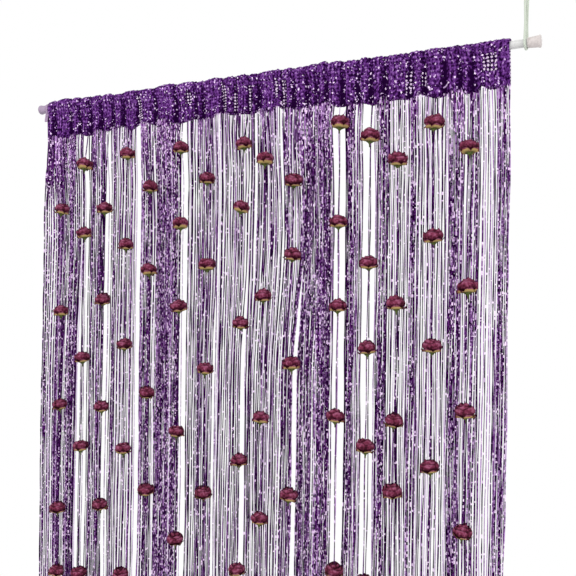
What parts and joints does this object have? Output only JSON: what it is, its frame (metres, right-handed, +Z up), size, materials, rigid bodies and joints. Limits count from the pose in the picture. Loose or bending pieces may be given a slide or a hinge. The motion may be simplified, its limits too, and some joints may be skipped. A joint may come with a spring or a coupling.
{
  "type": "string curtain with roses on a slim rod",
  "caption": "String curtain of glittering purple threads with small maroon roses on some of them, its knitted heading gathered on a slim white rod that hangs from a looped cord.",
  "frame": {"origin": "on the rod's axis, half-way between the outer faces of its two end caps", "axes": "+X along the rod, towards the end that the hanging cord holds; the curtain's front, with its roses, faces -Y; +Z up"},
  "size_m": [0.9714, 0.0394, 2.075],
  "materials": {
    "yarn": "purple yarn with glitter thread in it, knitted open in the heading",
    "petals": "matt maroon petals with yellow-orange undersides",
    "rod_white": "satin white coating",
    "cap_white": "satin off-white plastic",
    "cord_pale": "matt twisted cord, pale grey-green",
    "tie_pale": "matt twisted cord, pale grey-pink"
  },
  "bodies": {
    "root": {"heading": "yarn", "strings": "yarn", "rose_string_01": "petals", "rose_string_02": "petals", "rose_string_03": "petals", "rose_string_04": "petals", "rose_string_05": "petals", "rose_string_06": "petals", "rose_string_07": "petals", "rose_string_08": "petals", "rose_string_09": "petals", "rose_string_10": "petals", "rose_string_11": "petals", "rose_string_12": "petals", "rose_string_13": "petals", "rose_string_14": "petals", "rose_string_15": "petals", "rod": "rod_white", "cap_left": "cap_white", "cap_right": "cap_white", "cord_hook": "cap_white", "hang_cord": "cord_pale", "tie_left": "tie_pale", "tie_tail_a": "tie_pale", "tie_tail_b": "tie_pale"}
  },
  "joints": []
}
